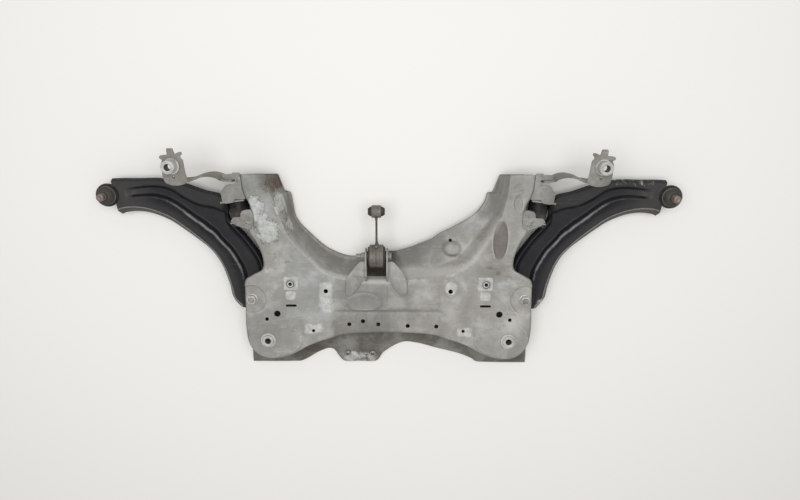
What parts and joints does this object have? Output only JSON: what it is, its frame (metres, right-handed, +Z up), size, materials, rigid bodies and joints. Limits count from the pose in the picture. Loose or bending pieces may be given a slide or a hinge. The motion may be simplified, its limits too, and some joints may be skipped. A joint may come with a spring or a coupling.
{
  "type": "front subframe",
  "caption": "Pressed-steel front subframe with forward arms, lower control arms with ball joints, front body-mount brackets and a torque rod.",
  "frame": {"origin": "centre of the bounding box at the underside of the lower shell", "axes": "+Y car forward, +Z up, +X to the right of the picture"},
  "size_m": [1.404, 0.567, 0.1963],
  "materials": {
    "cradle_paint": "weathered grey paint, matt, with pale corrosion blotches",
    "lower_paint": "grimy grey-brown paint",
    "bracket_paint": "light grey paint, dusty",
    "plain_steel": "dull zinc-plated steel",
    "rusty_steel": "rusted bare steel",
    "rod_metal": "dirty bare cast metal",
    "arm_paint": "satin black paint, scuffed",
    "black_rubber": "dull black rubber"
  },
  "bodies": {
    "cradle": {"upper_shell": "cradle_paint", "front_ear_left": "cradle_paint", "front_ear_right": "cradle_paint", "rear_ear_left": "cradle_paint", "rear_ear_right": "cradle_paint", "lower_shell": "lower_paint", "clevis_left": "bracket_paint", "clevis_right": "bracket_paint", "horn_left": "bracket_paint", "horn_right": "bracket_paint", "horn_sleeve_left": "bracket_paint", "horn_sleeve_right": "bracket_paint", "rear_sleeve_left": "bracket_paint", "rear_sleeve_right": "bracket_paint", "tab_nuts": "plain_steel", "rack_sleeve_left": "plain_steel", "rack_sleeve_right": "plain_steel", "front_pivot_sleeve_left": "plain_steel", "front_pivot_sleeve_right": "plain_steel", "rear_pivot_sleeve_left": "plain_steel", "rear_pivot_sleeve_right": "plain_steel", "rod_inner_sleeve": "plain_steel", "rod_bolt": "plain_steel", "rod_nut": "plain_steel", "rear_pivot_nut_left": "plain_steel", "rear_pivot_nut_right": "plain_steel", "front_pivot_nut_left": "plain_steel", "front_pivot_nut_right": "plain_steel", "front_pivot_bolt_left": "rusty_steel", "front_pivot_bolt_right": "rusty_steel", "rear_pivot_bolt_left": "rusty_steel", "rear_pivot_bolt_right": "rusty_steel"},
    "left_arm": {"control_arm_left": "arm_paint", "front_eye_left": "arm_paint", "front_rubber_left": "black_rubber", "rear_can_left": "arm_paint", "rear_rubber_left": "black_rubber", "ball_housing_left": "arm_paint", "ball_boot_left": "black_rubber"},
    "right_arm": {"control_arm_right": "arm_paint", "front_eye_right": "arm_paint", "front_rubber_right": "black_rubber", "rear_can_right": "arm_paint", "rear_rubber_right": "black_rubber", "ball_housing_right": "arm_paint", "ball_boot_right": "black_rubber"},
    "left_stud": {"ball_stud_left": "rusty_steel"},
    "right_stud": {"ball_stud_right": "rusty_steel"},
    "rod": {"torque_rod": "rod_metal", "rod_large_rubber": "black_rubber", "rod_small_rubber": "black_rubber", "rod_small_sleeve": "plain_steel"}
  },
  "joints": [
    {"name": "left_arm_swing", "type": "hinge", "parent": "cradle", "child": "left_arm", "pos_m": [-0.36, 0.1295, 0.045], "axis": [-0.1174, 0.9931, 0], "range_deg": [-14, 14], "stiffness_Nm_per_rad": 280, "deforming": ["rear_rubber_left"]},
    {"name": "left_stud_tilt", "type": "hinge", "parent": "left_arm", "child": "left_stud", "pos_m": [-0.674, 0.1615, 0.046], "axis": [0, 1, 0], "range_deg": [-22, 22], "deforming": ["ball_boot_left"]},
    {"name": "right_arm_swing", "type": "hinge", "parent": "cradle", "child": "right_arm", "pos_m": [0.36, 0.1295, 0.045], "axis": [0.1174, 0.9931, 0], "range_deg": [-14, 14], "stiffness_Nm_per_rad": 280, "deforming": ["rear_rubber_right"]},
    {"name": "right_stud_tilt", "type": "hinge", "parent": "right_arm", "child": "right_stud", "pos_m": [0.674, 0.1615, 0.046], "axis": [0, 1, 0], "range_deg": [-22, 22], "deforming": ["ball_boot_right"]},
    {"name": "rod_swing", "type": "hinge", "parent": "cradle", "child": "rod", "pos_m": [-0.0275, 0.0205, 0.084], "axis": [1, 0, 0], "range_deg": [-12, 12], "stiffness_Nm_per_rad": 90}
  ]
}
